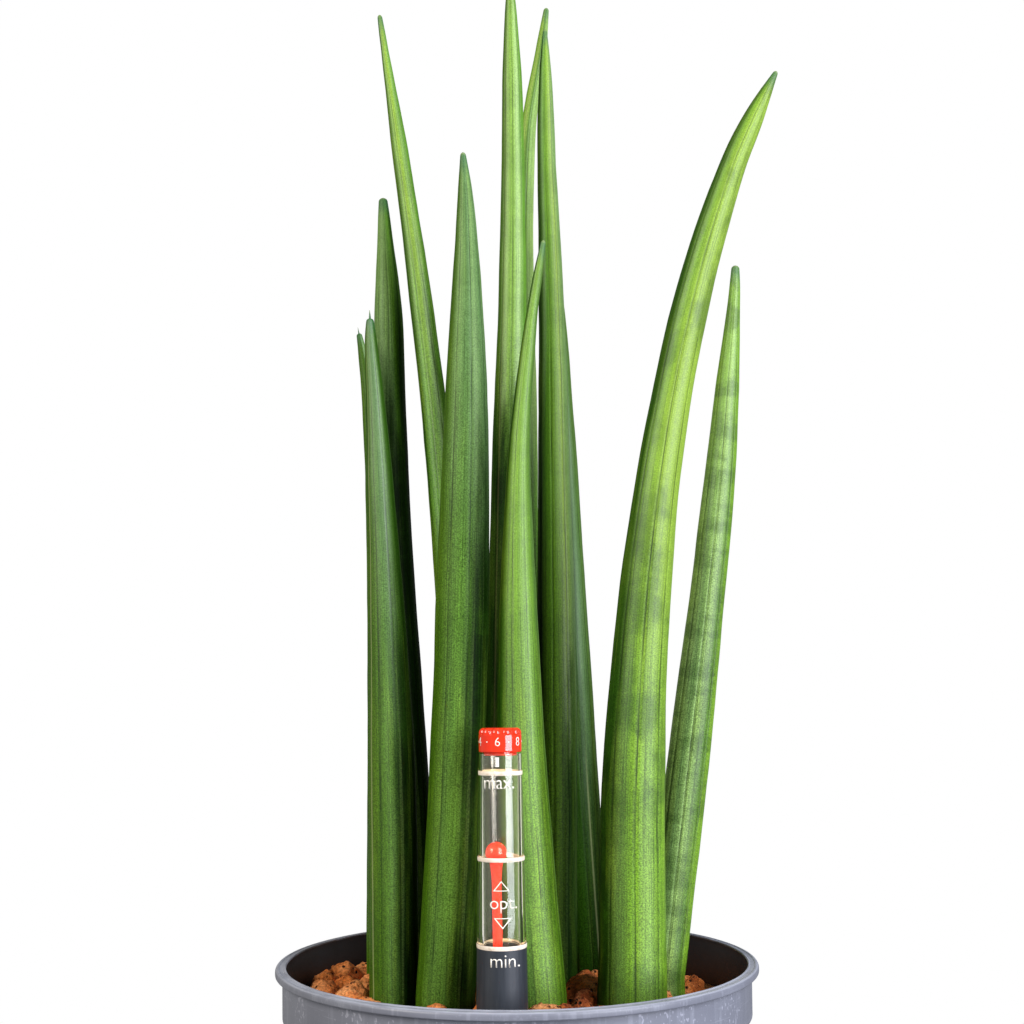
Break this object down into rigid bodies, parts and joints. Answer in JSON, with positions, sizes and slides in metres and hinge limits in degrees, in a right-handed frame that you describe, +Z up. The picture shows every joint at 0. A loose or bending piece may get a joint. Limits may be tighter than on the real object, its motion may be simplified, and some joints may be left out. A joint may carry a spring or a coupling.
{
  "type": "potted cylindrical snake plant",
  "caption": "Cylindrical snake plant with upright round ribbed leaves in a hydroculture pot of clay pebbles, with a float-type water level gauge.",
  "frame": {"origin": "centre of the pot's flat underside", "axes": "+Z up along the pot's axis, +X to the right seen from the front where the gauge stands, +Y away from the front"},
  "size_m": [0.1609, 0.15, 0.5262],
  "materials": {
    "pot_plastic": "matte",
    "expanded_clay": "matte",
    "leaf_green": "satin",
    "leaf_lime": "satin",
    "gauge_dark": "satin",
    "gauge_clear": "gloss",
    "signal_red": "gloss",
    "float_foam": "matte"
  },
  "bodies": {
    "root": {"pot": "pot_plastic", "clay_pebbles": "expanded_clay", "leaf_left_edge": "leaf_green", "leaf_left_front": "leaf_green", "leaf_left_back": "leaf_green", "leaf_left_tall": "leaf_lime", "leaf_mid_left": "leaf_green", "leaf_tallest": "leaf_green", "leaf_mid_back": "leaf_lime", "leaf_mid_right": "leaf_green", "leaf_right_back": "leaf_green", "leaf_mid_front": "leaf_lime", "leaf_right_front": "leaf_lime", "leaf_right_edge": "leaf_lime", "gauge_housing": "gauge_dark", "gauge_window": "gauge_clear"},
    "float": {"float_rod": "signal_red", "float_body": "float_foam"},
    "dial": {"dial_cap": "signal_red"}
  },
  "joints": [
    {"name": "float_slide", "type": "slide", "parent": "root", "child": "float", "axis": [0, 0, 1], "range_m": [-0.026, 0.022]},
    {"name": "dial_turn", "type": "hinge", "parent": "root", "child": "dial", "pos_m": [-0.0042, -0.052, 0.26], "axis": [0, 0, 1], "continuous": true}
  ]
}
